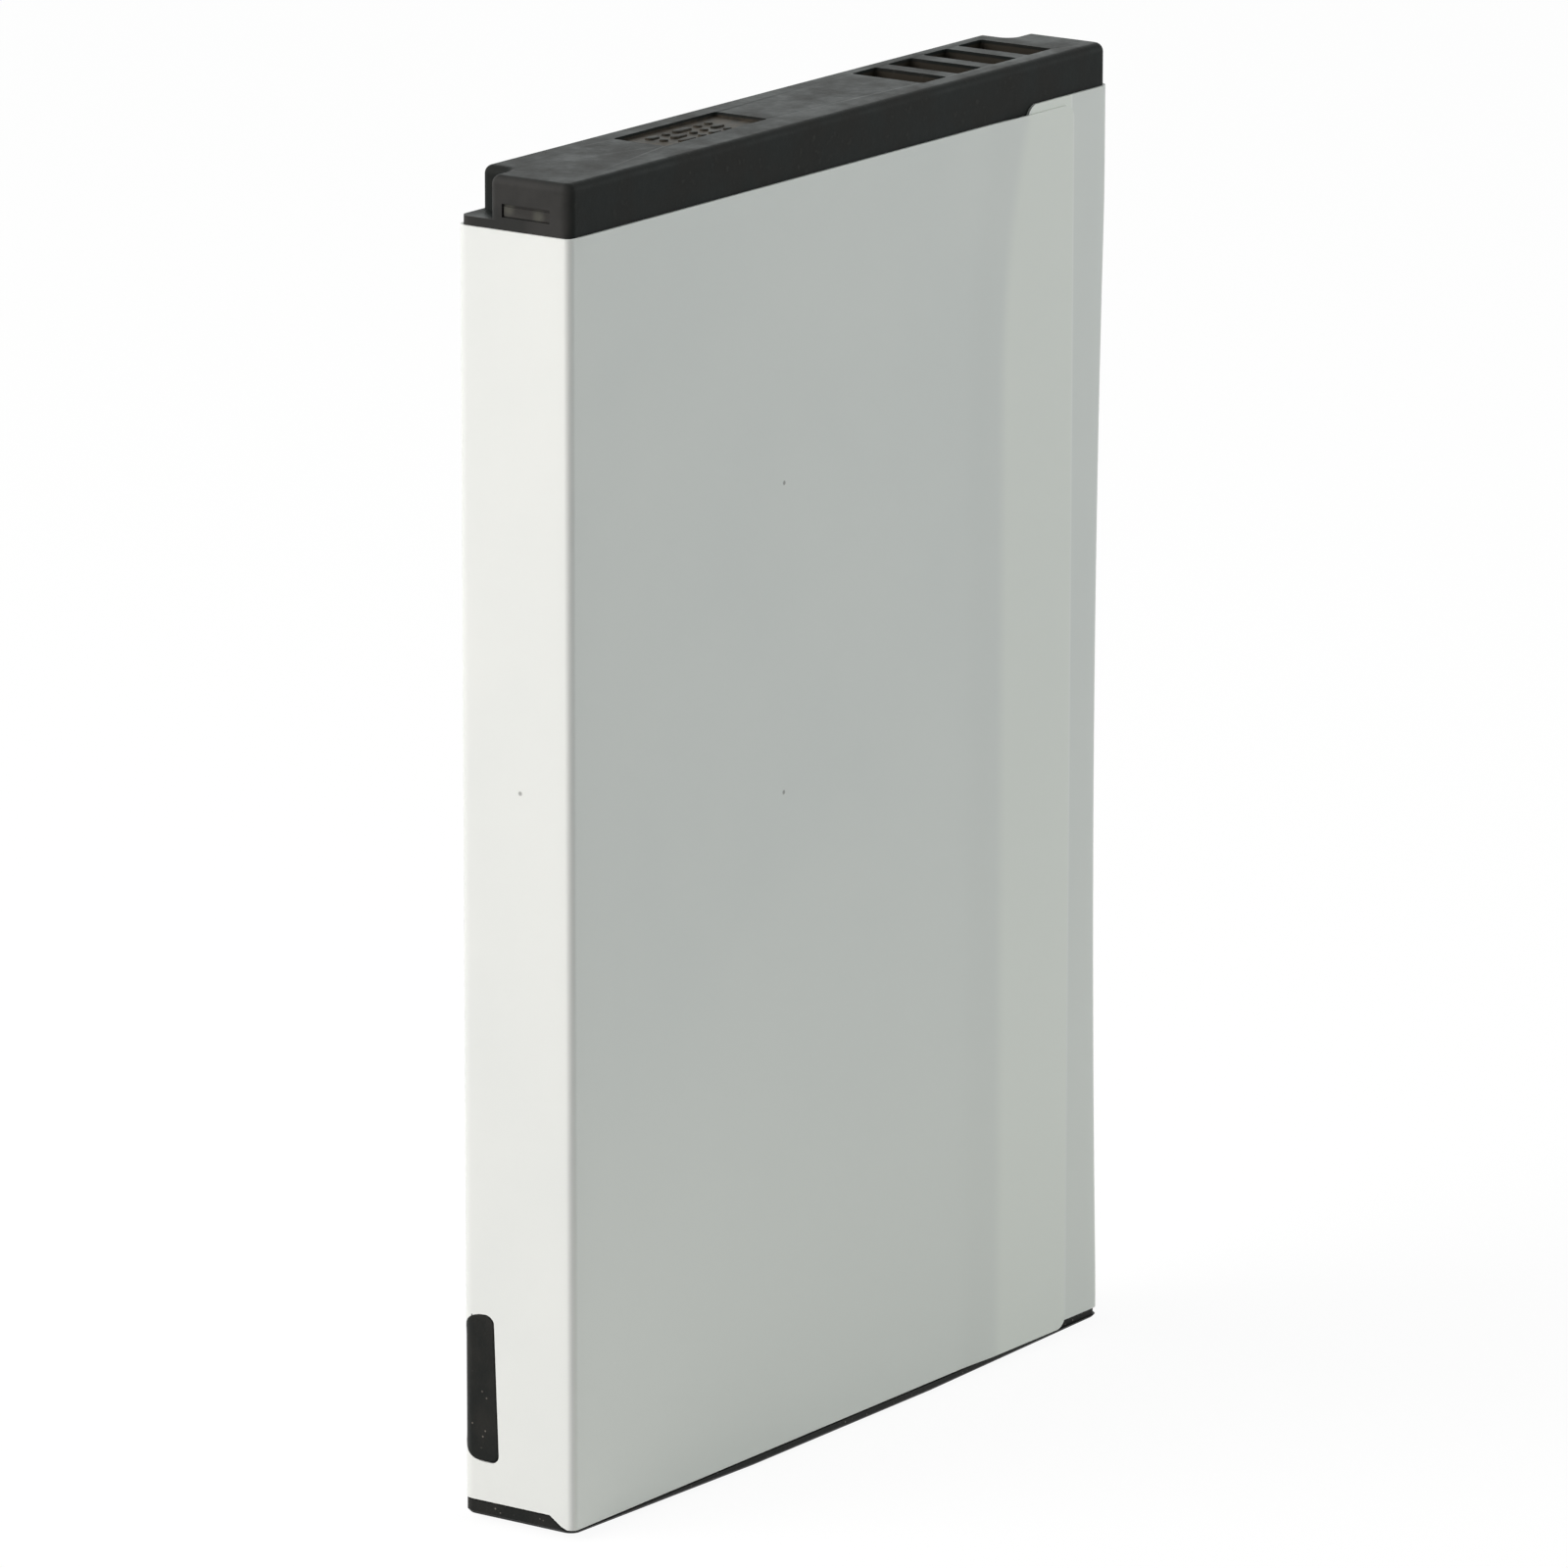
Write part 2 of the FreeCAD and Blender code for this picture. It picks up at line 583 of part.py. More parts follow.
def flap_edge(shift):
    """Inner end of the film on the front: upright, then drawn back along an arc."""
    x = FLAP_END + shift
    bend = FLAP_TOP - FLAP_TAPER_HEIGHT
    radius = (FLAP_TAPER ** 2 + FLAP_TAPER_HEIGHT ** 2) / (2 * FLAP_TAPER)
    half_turn = math.asin(FLAP_TAPER_HEIGHT / radius) / 2
    middle_x = x + radius * (1 - math.cos(half_turn))
    middle_z = bend + radius * math.sin(half_turn)
    start = Vector(x, 0, 0)
    turn = Vector(x, 0, bend)
    end = Vector(x + FLAP_TAPER, 0, FLAP_TOP)
    return [Part.makeLine(start, turn), Part.Arc(turn, Vector(middle_x, 0, middle_z), end).toShape()]


def front_sheet(left_shift, right, bottom, top, inner, outer):
    """Flat piece of film right of the inner end's line, between two depths before the front face."""
    edge = flap_edge(left_shift)
    last = edge[-1].Vertexes[-1].Point
    first = edge[0].Vertexes[0].Point
    upper_right = Vector(right, 0, last.z)
    lower_right = Vector(right, 0, first.z)
    outline = Part.Wire(edge + [
        Part.makeLine(last, upper_right),
        Part.makeLine(upper_right, lower_right),
        Part.makeLine(lower_right, first),
    ])
    sheet = Part.Face(outline).extrude(Vector(0, outer - inner, 0))
    sheet.translate(Vector(0, -HALF_DEPTH - outer, 0))
    return sheet.common(slab(bottom, top))


def film_ring():
    """Closed ring of film round the frame and the cap's skirt."""
    return pack_outline(FILM).cut(pack_outline(0)).common(slab(0, FLAP_TOP))


def film_trims():
    """What is cut from the ring: edges, the gap before the inner end, and the rear cut-out."""
    far = PACK_WIDTH
    upper_edge = prism([
        Vector(-HALF_WIDTH - FILM, -far, LABEL_TOP),
        Vector(HALF_WIDTH + FILM, -far, FLAP_TOP),
        Vector(HALF_WIDTH + FILM, -far, PACK_HEIGHT + FLAP_LIFT),
        Vector(-HALF_WIDTH - FILM, -far, PACK_HEIGHT),
    ], Vector(0, 2 * far, 0))
    front_skin = EDGE_RADIUS - HALF_DEPTH
    front_top = box(-far, FLAP_END + FLAP_TAPER, -far, front_skin, LABEL_TOP, PACK_HEIGHT)
    flap_bottom = box(FLAP_END - JOGGLE, far, -far, front_skin, -1, FLAP_RISE)
    gap = front_sheet(-JOGGLE, far, 0, FLAP_TOP, -EDGE_RADIUS, 2 * FILM)
    gap = gap.cut(front_sheet(0, far, 0, FLAP_TOP, -EDGE_RADIUS, 2 * FILM))
    return [upper_edge, front_top, flap_bottom, below_label(0), gap, rear_hole(0)]


def below_label(margin):
    """Everything under the label's lower edge, which is low on the front and slants up to the sides."""
    slant_front = LABEL_SIDE_FRONT - HALF_DEPTH
    slant_rear = slant_front + LABEL_SIDE_SLOPE
    low = LABEL_RISE - margin
    high = LABEL_SIDE_RISE - margin
    return prism([
        Vector(-PACK_WIDTH, -PACK_DEPTH, low),
        Vector(-PACK_WIDTH, slant_front, low),
        Vector(-PACK_WIDTH, slant_rear, high),
        Vector(-PACK_WIDTH, PACK_DEPTH, high),
        Vector(-PACK_WIDTH, PACK_DEPTH, -FOOT_WALL),
        Vector(-PACK_WIDTH, -PACK_DEPTH, -FOOT_WALL),
    ], Vector(2 * PACK_WIDTH, 0, 0))


def rear_hole(margin):
    """Round-cornered cut-out in the film over the left rear edge, or what fills it but for a margin."""
    middle = Vector(EDGE_RADIUS - HALF_WIDTH, HALF_DEPTH - EDGE_RADIUS, 0)
    start = middle.x + RAIL_WALL / 2
    front = middle.y - HOLE_SIDE_REACH + margin
    rear = middle.y + HOLE_REAR_REACH - margin
    bottom = HOLE_BOTTOM + margin
    top = HOLE_BOTTOM + HOLE_HEIGHT - margin
    hole = prism([
        Vector(start, front, bottom),
        Vector(start, rear, bottom),
        Vector(start, rear, top),
        Vector(start, front + HOLE_LEAN, top),
    ], Vector(-HOLE_SIDE_REACH - RAIL_WALL, 0, 0))
    for side_y, radius in ((front, HOLE_FRONT_RADIUS), (rear, HOLE_REAR_RADIUS)):
        corners = []
        for edge in hole.Edges:
            near = abs(edge.CenterOfMass.y - side_y) < HOLE_LEAN + FIT
            if near and edge.BoundBox.XLength > HOLE_SIDE_REACH:
                corners.append(edge)
        hole = hole.makeFillet(radius - margin, corners)
    hole.rotate(middle, Vector(0, 0, 1), -HOLE_TURN)
    return hole


def label_wrap():
    wrap = film_ring().cut(film_trims())
    outer_end = front_sheet(-2 * JOGGLE, HALF_WIDTH - LABEL_END_GAP, LABEL_RISE, LABEL_TOP, FILM, 2 * FILM)
    corners = []
    for edge in outer_end.Edges:
        if edge.BoundBox.YLength > FILM / 2 and edge.CenterOfMass.x > HALF_WIDTH - LABEL_END_GAP - FIT:
            corners.append(edge)
    outer_end = outer_end.makeFillet(LABEL_CORNER, corners)
    return wrap.fuse(outer_end).removeSplitter()


def parts():
    made = {
        "top_cap": top_cap(),
        "side_frame": side_frame(),
        "label_wrap": label_wrap(),
        "cell_can": cell_can(),
        "terminal_gasket": terminal_gasket(),
        "terminal_rivet": terminal_rivet(),
        "lid_insulator": lid_insulator(),
        "protection_board": protection_board(),
        "positive_strip": positive_strip(),
        "negative_strip": negative_strip(),
        "thermal_fuse": thermal_fuse(),
        "fuse_strip": fuse_strip(),
        "foot_tape": foot_tape(),
    }
    made.update(board_parts())
    for number in range(SLOT_COUNT):
        made[f"contact_{number + 1}"] = contact(number)
    return made


os.makedirs("parts", exist_ok=True)
for name, shape in parts().items():
    shape.exportStep(f"parts/{name}.step")
    print(f"{name}: {len(shape.Solids)} solid, valid {shape.isValid()}, {shape.Volume:.2f} mm3")
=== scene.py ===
# %% [markdown]
# # A flat battery pack for a handheld computer
#
# The pack is a thin lithium cell in a black moulded frame. A black cap with four contact slots
# closes its top, and one pale film is wrapped once round it and over its own beginning.
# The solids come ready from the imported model, so the scene starts by loading them as a fixed
# frame. Blender then adds what solids do badly: the film's soft bends, the marks in the cap's
# sunk panel, the grain and the light.

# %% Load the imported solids
import math

import bmesh
import bpy
from mathutils import Matrix, Vector


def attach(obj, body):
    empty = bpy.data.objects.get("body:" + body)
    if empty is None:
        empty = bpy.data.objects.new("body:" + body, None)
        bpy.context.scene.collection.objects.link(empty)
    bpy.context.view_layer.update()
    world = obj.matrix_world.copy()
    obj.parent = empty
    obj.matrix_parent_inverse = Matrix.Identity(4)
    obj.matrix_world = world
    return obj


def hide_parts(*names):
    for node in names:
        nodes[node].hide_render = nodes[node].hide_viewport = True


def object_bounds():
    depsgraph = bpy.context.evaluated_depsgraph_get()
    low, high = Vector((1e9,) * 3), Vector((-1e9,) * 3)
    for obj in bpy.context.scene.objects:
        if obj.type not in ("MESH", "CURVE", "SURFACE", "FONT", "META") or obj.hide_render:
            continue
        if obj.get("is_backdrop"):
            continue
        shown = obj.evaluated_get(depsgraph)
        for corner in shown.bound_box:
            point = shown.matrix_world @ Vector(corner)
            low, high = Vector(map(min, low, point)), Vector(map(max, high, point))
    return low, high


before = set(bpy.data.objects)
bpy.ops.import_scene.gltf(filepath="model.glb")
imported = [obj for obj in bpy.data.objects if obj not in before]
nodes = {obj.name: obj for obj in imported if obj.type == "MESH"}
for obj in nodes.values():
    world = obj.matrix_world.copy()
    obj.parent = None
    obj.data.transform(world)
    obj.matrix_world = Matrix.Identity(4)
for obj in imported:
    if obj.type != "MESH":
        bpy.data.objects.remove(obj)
cad_low, cad_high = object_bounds()
MM = 0.001
print("solids:", len(nodes), "size in mm:", [round(side / MM, 2) for side in cad_high - cad_low])

# %% [markdown]
# ## Writing materials as sums
#
# A material is a web of nodes, and most of them are plain arithmetic. A node could be placed by
# hand for each sum, but a long web of Math nodes can't be read. A small class that wraps a
# socket and overloads the operators lets a mask be written as an expression, and each sum adds
# its own node.

# %% A socket that can be calculated with


class Field:
    """A value that changes over a surface. Arithmetic on it adds Math nodes."""

    def __init__(self, web, socket):
        self.web = web
        self.socket = socket

    def math(self, operation, first, second=0.0):
        return self.web.node("ShaderNodeMath", {"operation": operation}, {0: first, 1: second})

    def __add__(self, other):
        return self.math("ADD", self, other)

    def __sub__(self, other):
        return self.math("SUBTRACT", self, other)

    def __rsub__(self, other):
        return self.math("SUBTRACT", other, self)

    def __mul__(self, other):
        return self.math("MULTIPLY", self, other)

    def __abs__(self):
        return self.math("ABSOLUTE", self)

    __radd__ = __add__
    __rmul__ = __mul__

    def above_zero(self):
        return self.math("MAXIMUM", self)

    def ramp(self, start, end):
        """0 up to start, 1 from end on, and a soft step between them."""
        settings = {"interpolation_type": "SMOOTHSTEP"}
        inputs = {"Value": self, "From Min": start, "From Max": end}
        return self.web.node("ShaderNodeMapRange", settings, inputs)


print("sums of fields add Math nodes")

# %% [markdown]
# ## One way to add a node
#
# Every other node, a noise or a colour mix, goes through one method as well. It takes the node's
# type, the settings that change what sockets it has, and then what its sockets hold. A socket
# gets either a number, which is written on it, or a field, which is linked to it. The
# surroundings are made of nodes too, so what a material and they share is a class of its own.

# %% A web of nodes


class Web:
    """The nodes of a material or of the surroundings."""

    def __init__(self, owner):
        owner.use_nodes = True
        self.owner = owner
        self.tree = owner.node_tree

    def node(self, kind, settings=None, inputs=None, output=0):
        made = self.tree.nodes.new(kind)
        for name, value in (settings or {}).items():
            setattr(made, name, value)
        for name, value in (inputs or {}).items():
            self.put(made.inputs[name], value)
        return Field(self, made.outputs[output])

    def put(self, socket, value):
        if isinstance(value, Field):
            self.tree.links.new(value.socket, socket)
        else:
            socket.default_value = value


print("nodes can be added")

# %% A material under construction


class Finish(Web):
    """One material, made round a Principled shader."""

    def __init__(self, name):
        self.material = bpy.data.materials.new(name)
        super().__init__(self.material)
        self.shader = self.tree.nodes["Principled BSDF"]

    def surface(self, **inputs):
        """Fill the shader's sockets, each by its name in small letters."""
        for name, value in inputs.items():
            title = name.replace("_", " ").title().replace("Ior", "IOR")
            self.put(self.shader.inputs[title], value)

    def place(self):
        """The point on the object, in millimetres of the pack's own frame."""
        point = self.node("ShaderNodeTexCoord", output="Object")
        inputs = {0: point, "Scale": 1 / MM}
        return self.node("ShaderNodeVectorMath", {"operation": "SCALE"}, inputs)

    def axis(self, point, number):
        return self.node("ShaderNodeSeparateXYZ", inputs={0: point}, output=number)

    def noise(self, point, per_mm, detail=2.0):
        inputs = {"Vector": point, "Scale": per_mm, "Detail": detail}
        return self.node("ShaderNodeTexNoise", inputs=inputs)

    def mix(self, share, first, second):
        """A colour between two, by a share from 0 to 1."""
        settings = {"data_type": "RGBA", "clamp_factor": True}
        return self.node("ShaderNodeMix", settings, {0: share, 6: first, 7: second}, output=2)

    def bump(self, height, depth_mm):
        """Relief whose height runs from 0 to 1, over a depth in millimetres."""
        inputs = {"Height": height, "Distance": depth_mm * MM, "Strength": 1.0}
        self.surface(normal=self.node("ShaderNodeBump", inputs=inputs))


def linear(red, green, blue):
    return (red, green, blue, 1.0)


print("materials can be made")

# %% [markdown]
# ## Black moulded plastic
#
# The cap and the frame are black plastic from a spark-eroded mould, so the surface is a fine,
# dull grain. An image of the grain would be the usual way, but it has to be unwrapped and it
# repeats. Noise in the object's own millimetres needs no unwrapping: one coarse noise for
# patches of wear, one fine noise for the grain, which also drives the bump. Moulded black isn't
# quite neutral, so the patches lean a little towards brown. Brownish dust has settled in the
# sunk panel on top and in the contact slots, which are boxes in the object's own millimetres.
# The flat ends are greyer: partly rubbed against the bay that the pack is pushed into, partly a
# painted reflection of the pale floor that they mirror.

# %% A mask for a box
BOX_FADE = 0.1


def inside(finish, point, low, high):
    """1 inside the box between two corners, fading out a little beyond it."""
    share = 1.0
    for number in range(3):
        place = finish.axis(point, number)
        share = place.ramp(low[number] - BOX_FADE, low[number]) * share
        share = place.ramp(high[number] + BOX_FADE, high[number]) * share
    return share


print("a box fades out over", BOX_FADE, "mm")

# %% Grain and wear of the black plastic
cool_black, warm_black = linear(0.008, 0.0105, 0.0098), linear(0.014, 0.0145, 0.0132)
rubbed_black = linear(0.04, 0.04, 0.037)
black_plastic = Finish("moulded_black_plastic")
spot = black_plastic.place()
patches = black_plastic.noise(spot, per_mm=0.5, detail=3.0)
grain = black_plastic.noise(spot, per_mm=2.6, detail=3.0)
pores = black_plastic.noise(spot, per_mm=9.0)
dull_black = black_plastic.mix(patches.ramp(0.35, 0.7), cool_black, warm_black)
rubbed = grain.ramp(0.56, 0.78) * patches.ramp(0.4, 0.65)
moulded_black = black_plastic.mix(rubbed * 0.5, dull_black, rubbed_black)
sheen = grain.ramp(0.25, 0.75) * 0.05 + patches.ramp(0.3, 0.7) * 0.12
black_plastic.surface(roughness=0.45 + sheen, specular_ior_level=0.07)
black_plastic.bump(grain * 0.6 + pores * 0.4, depth_mm=0.012)
print("black plastic:", len(black_plastic.tree.nodes), "nodes")

# %% Dust, and wear and a painted reflection on the ends
PANEL_LEFT, PANEL_RIGHT = -11.1, -3.4
PANEL_DUST = ((PANEL_LEFT, -1.1, 60.4), (PANEL_RIGHT, 1.75, 60.62))
SLOT_DUST = ((7.45, -1.9, 56.0), (17.85, 2.1, 60.6))
END_FROM, END_TO = 20.3, 20.65  # distances from the middle where the greyer ends fade in: wear and painted reflection
settled_dust, end_grey_wear_and_reflection = linear(0.068, 0.056, 0.042), linear(0.04, 0.0395, 0.038)
in_panel = inside(black_plastic, spot, *PANEL_DUST) * (0.3 + grain.ramp(0.35, 0.65) * 0.5)
in_slots = inside(black_plastic, spot, *SLOT_DUST) * 0.4
dusted = black_plastic.mix(in_panel + in_slots, moulded_black, settled_dust)
from_middle = abs(black_plastic.axis(spot, 0))
# The ends are greyer partly from wear and partly as a painted reflection of the floor they mirror.
end_wear_and_reflection = from_middle.ramp(END_FROM, END_TO) * (0.6 + patches.ramp(0.35, 0.65) * 0.4)
black_plastic.surface(base_color=black_plastic.mix(end_wear_and_reflection, dusted, end_grey_wear_and_reflection))
print("black plastic with dust:", len(black_plastic.tree.nodes), "nodes")

# %% [markdown]
# ## The same plastic, dusty
#
# Where the film is cut away, the frame's edge shows, and dust has settled on it. Dust could be
# scattered as tiny meshes, but flecks this small read the same as spots in the material. A
# Voronoi pattern gives one spot in each cell, a noise decides which cells keep theirs, and the
# dust thins out upwards. The frame's snap nub, in the window of the cap's left end, is greyer
# and paler at two places. Each of them is a distance to a point, turned into a soft spot.

# %% A mask for spots


def spots(finish, point, centres, inner, outer):
    """1 within an inner distance of any of the centres, fading to 0 at an outer one."""
    share = 0.0
    for centre in centres:
        inputs = {0: point, 1: centre}
        distance = finish.node("ShaderNodeVectorMath", {"operation": "DISTANCE"}, inputs, "Value")
        share = (1 - distance.ramp(inner, outer)) + share
    return share


print("spots can be placed")

# %% Flecks on the frame
DUST_FULL, DUST_NONE = 4.0, 8.5  # heights between which the dust thins out
cool_black, warm_black = linear(0.011, 0.0125, 0.0115), linear(0.019, 0.019, 0.0172)
pale_fleck = linear(0.3, 0.27, 0.24)
dusty_plastic = Finish("dusty_black_plastic")
spot = dusty_plastic.place()
height = dusty_plastic.axis(spot, 2)
patches = dusty_plastic.noise(spot, per_mm=0.6, detail=3.0)
grain = dusty_plastic.noise(spot, per_mm=5.5, detail=3.0)
cells = dusty_plastic.node("ShaderNodeTexVoronoi", inputs={"Vector": spot, "Scale": 3.2})
kept = dusty_plastic.noise(spot, per_mm=1.3, detail=0.0).ramp(0.5, 0.58)
flecks = (1 - cells.ramp(0.08, 0.2)) * kept * (1 - height.ramp(DUST_FULL, DUST_NONE))
dull_black = dusty_plastic.mix(patches.ramp(0.35, 0.7), cool_black, warm_black)
dusted = dusty_plastic.mix(flecks * 0.6, dull_black, pale_fleck)
dusty_plastic.surface(roughness=0.46 + patches * 0.14 + flecks * 0.2, specular_ior_level=0.09)
dusty_plastic.bump(grain * 0.8 + flecks * 0.2, depth_mm=0.025)
print("dusty plastic:", len(dusty_plastic.tree.nodes), "nodes")

# %% The snap nub, paler at two spots
NUB_BELOW, NUB_FROM = 58.9, 59.0  # the frame ends and its nub begins between these heights
NUB_PALE_SPOTS = ((-20.62, 0.35, 59.4), (-20.62, -1.25, 59.22))
nub_grey, nub_pale = linear(0.034, 0.033, 0.031), linear(0.1, 0.1, 0.084)
nub_black = dusty_plastic.mix(height.ramp(NUB_BELOW, NUB_FROM), dusted, nub_grey)
pale_spots = spots(dusty_plastic, spot, NUB_PALE_SPOTS, inner=0.05, outer=0.45)
dusty_plastic.surface(base_color=dusty_plastic.mix(pale_spots * 0.6, nub_black, nub_pale))
print("dusty plastic with worn nub:", len(dusty_plastic.tree.nodes), "nodes")

# %% [markdown]
# ## The pale film
#
# The label is a satin white film. It lets a little of the dark pack through, so one layer looks
# grey and two layers look whiter: that makes the pale band on the front where the film lies
# over its own beginning. Real translucency would cost many light paths for so thin a skin. The
# number of layers is known at every point, so the colour is mixed from it.

# %% Sizes of the film, in millimetres
FILM = 0.12
HALF_DEPTH = 2.95  # of the moulding that the film lies on
FLAP_END = 12.1  # inner end of the film, hidden on the front
FLAP_BEND = 46.35  # height from which the inner end is drawn back along an arc
FLAP_RADIUS = 36.6
FILM_END = 17.7  # outer end, lying over the inner one
print("overlap:", round(FILM_END - FLAP_END, 2), "mm")

# %% Where the film is double
film = Finish("pale_label_film")
spot = film.place()
x, y, z = (film.axis(spot, number) for number in range(3))
above_bend = (z - FLAP_BEND).above_zero()
drawn_back = above_bend * above_bend * (0.5 / FLAP_RADIUS)
past_inner_end = (x - drawn_back).ramp(FLAP_END - 0.6, FLAP_END + 0.5)
before_outer_end = (FILM_END - x).ramp(-0.02, 0.02)
on_front = y.ramp(-HALF_DEPTH, -HALF_DEPTH - FILM / 2)
double = past_inner_end * before_outer_end * on_front
# A pale line is painted on the front just before the outer end: a painted highlight of the film's edge.
edge_highlight = (FILM_END - x).ramp(0.16, 0.06) * before_outer_end * on_front
print("film layers known at every point")

# %% [markdown]
# ## Unevenness of the film
#
# No film is one colour. Its tint drifts by a percent or two over some millimetres, its gloss is
# uneven, and a very shallow waviness comes from the cell beneath. Towards the foot, painted light
# from the floor makes the front a little paler and warmer. Three specks of dirt sit where a hand
# has left them.

# %% The film's tint
FLOOR_LIGHT_FROM = 36.0  # height below which painted light from the floor makes the front paler
drift = film.noise(spot, per_mm=0.09)
grey_tint, pale_tint = linear(0.785, 0.81, 0.79), linear(0.81, 0.832, 0.808)
upper_band, floor_lit_band = linear(0.87, 0.895, 0.848), linear(0.95, 0.972, 0.912)
floor_lit_grey, highlight_white = linear(0.885, 0.905, 0.862), linear(0.93, 0.94, 0.92)
single_tint = film.mix(drift.ramp(0.3, 0.7), grey_tint, pale_tint)
upper_tint = film.mix(double, single_tint, upper_band)
floor_lit_tint = film.mix(double, floor_lit_grey, floor_lit_band)
# Towards the foot the front's tint is painted paler and warmer: painted light from the floor.
layered_and_floor_lit = film.mix(z.ramp(FLOOR_LIGHT_FROM, 0.0) * on_front, upper_tint, floor_lit_tint)
with_edge_highlight = film.mix(edge_highlight * 0.6, layered_and_floor_lit, highlight_white)
print("film:", len(film.tree.nodes), "nodes")

# %% Specks, gloss and waviness
FACE = -HALF_DEPTH - FILM
SPECKS = ((-4.9, FACE, 44.9), (-4.9, FACE, 30.8), (-20.8, -0.3, 33.6))
fibres = film.noise(spot, per_mm=4.0, detail=3.0)
specks = spots(film, spot, SPECKS, inner=0.05, outer=0.14)
dirt = linear(0.2, 0.2, 0.19)
film.surface(base_color=film.mix(specks * 0.7, with_edge_highlight, dirt))
film.surface(roughness=0.42 + drift * 0.1 + fibres * 0.06, specular_ior_level=0.35)
film.bump(drift * 0.8 + fibres * 0.03, depth_mm=0.02)
print("film with specks:", len(film.tree.nodes), "nodes")

# %% [markdown]
# ## Metals and small parts inside
#
# The cell's can, the nickel strips, the gold contacts and the board's parts are shut in, but the
# contacts and the board can be seen down the slots, and a part in a library may be opened. A
# metal gets a brushed grain, which is noise stretched along one axis. Everything else gets a
# mottle. One function for each is enough, called with the colours and scale of each finish.

# %% Metals


def brushed_metal(name, dark, bright, roughness, squeeze):
    """Metal whose fine lines run along the axis that is squeezed least."""
    metal = Finish(name)
    point = metal.place()
    inputs = {0: point, 1: squeeze}
    stretched = metal.node("ShaderNodeVectorMath", {"operation": "MULTIPLY"}, inputs)
    lines = metal.noise(stretched, per_mm=3.0, detail=4.0)
    cloud = metal.noise(point, per_mm=0.5)
    metal.surface(base_color=metal.mix(lines * 0.6 + cloud * 0.4, dark, bright))
    metal.surface(metallic=1.0, roughness=roughness + lines * 0.12 + cloud * 0.06)
    metal.bump(lines, depth_mm=0.004)
    return metal.material


drawn_aluminium = brushed_metal(
    "drawn_aluminium", linear(0.62, 0.63, 0.64), linear(0.78, 0.79, 0.8), 0.3, (6.0, 6.0, 0.3))
rolled_nickel = brushed_metal(
    "rolled_nickel", linear(0.55, 0.53, 0.49), linear(0.7, 0.68, 0.63), 0.24, (0.4, 6.0, 6.0))
contact_gold = brushed_metal(
    "contact_gold", linear(0.75, 0.52, 0.2), linear(0.9, 0.68, 0.32), 0.22, (6.0, 0.5, 6.0))
print("metals ready")

# %% Plastics, laminate and ceramics


def mottled(name, dark, pale, roughness, per_mm, depth_mm):
    """Dull material with two tints and a fine relief."""
    dull = Finish(name)
    point = dull.place()
    cloud = dull.noise(point, per_mm, detail=4.0)
    fine = dull.noise(point, per_mm * 6)
    dull.surface(base_color=dull.mix(cloud.ramp(0.3, 0.7), dark, pale))
    dull.surface(roughness=roughness + fine * 0.15)
    dull.bump(fine, depth_mm)
    return dull.material


MOTTLES = {  # darker and paler tint, roughness, clouds per mm, depth of the relief in mm
    "seal_plastic": (linear(0.02, 0.03, 0.06), linear(0.035, 0.05, 0.09), 0.4, 1.2, 0.01),
    "lid_fibre": (linear(0.3, 0.24, 0.15), linear(0.42, 0.35, 0.23), 0.75, 2.5, 0.03),
    "board_laminate": (linear(0.012, 0.07, 0.035), linear(0.02, 0.11, 0.05), 0.35, 1.6, 0.01),
    "chip_resin": (linear(0.014, 0.014, 0.015), linear(0.026, 0.026, 0.028), 0.5, 3.0, 0.01),
    "fired_ceramic": (linear(0.3, 0.22, 0.15), linear(0.42, 0.33, 0.24), 0.45, 3.0, 0.01),
    "fuse_plastic": (linear(0.32, 0.3, 0.24), linear(0.45, 0.43, 0.36), 0.45, 1.5, 0.01),
    "pad_tape": (linear(0.55, 0.53, 0.48), linear(0.68, 0.66, 0.6), 0.7, 1.5, 0.02),
}
small_parts = {name: mottled(name, *looks) for name, looks in MOTTLES.items()}
print("small finishes:", len(small_parts))

# %% [markdown]
# ## Each solid gets its finish
#
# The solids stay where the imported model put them. Only the material in each object's slot is
# changed, by a table from finish to the pieces made of it.

# %% Finishes on the solids
FINISHED = {
    black_plastic.material: ["top_cap"],
    dusty_plastic.material: ["side_frame"],
    film.material: ["label_wrap"],
    drawn_aluminium: ["cell_can"],
    rolled_nickel: ["terminal_rivet", "positive_strip", "negative_strip", "fuse_strip"],
    contact_gold: ["contact_1", "contact_2", "contact_3", "contact_4"],
    small_parts["seal_plastic"]: ["terminal_gasket"],
    small_parts["lid_fibre"]: ["lid_insulator"],
    small_parts["board_laminate"]: ["protection_board"],
    small_parts["chip_resin"]: ["switch_transistor", "protection_chip"],
    small_parts["fired_ceramic"]: [
        "sense_resistor", "filter_capacitor", "thermistor", "identity_resistor"],
    small_parts["fuse_plastic"]: ["thermal_fuse"],
    small_parts["pad_tape"]: ["foot_tape"],
}
bare = set(nodes)
for material, names in FINISHED.items():
    for name in names:
        nodes[name].data.materials.clear()
        nodes[name].data.materials.append(material)
        bare.discard(name)
print("solids without a finish:", sorted(bare))

# %% [markdown]
# ## Softened edges of the mouldings
#
# No moulded edge is perfectly sharp: it has a radius of about a tenth of a millimetre that
# catches the light. It could be filleted in the solid, at the price of many facets. A Bevel
# modifier does it here without changing the mesh. The import splits the mesh at sharp edges, so
# a Weld comes first to join it, and Weighted Normal keeps the flat faces flat afterwards.

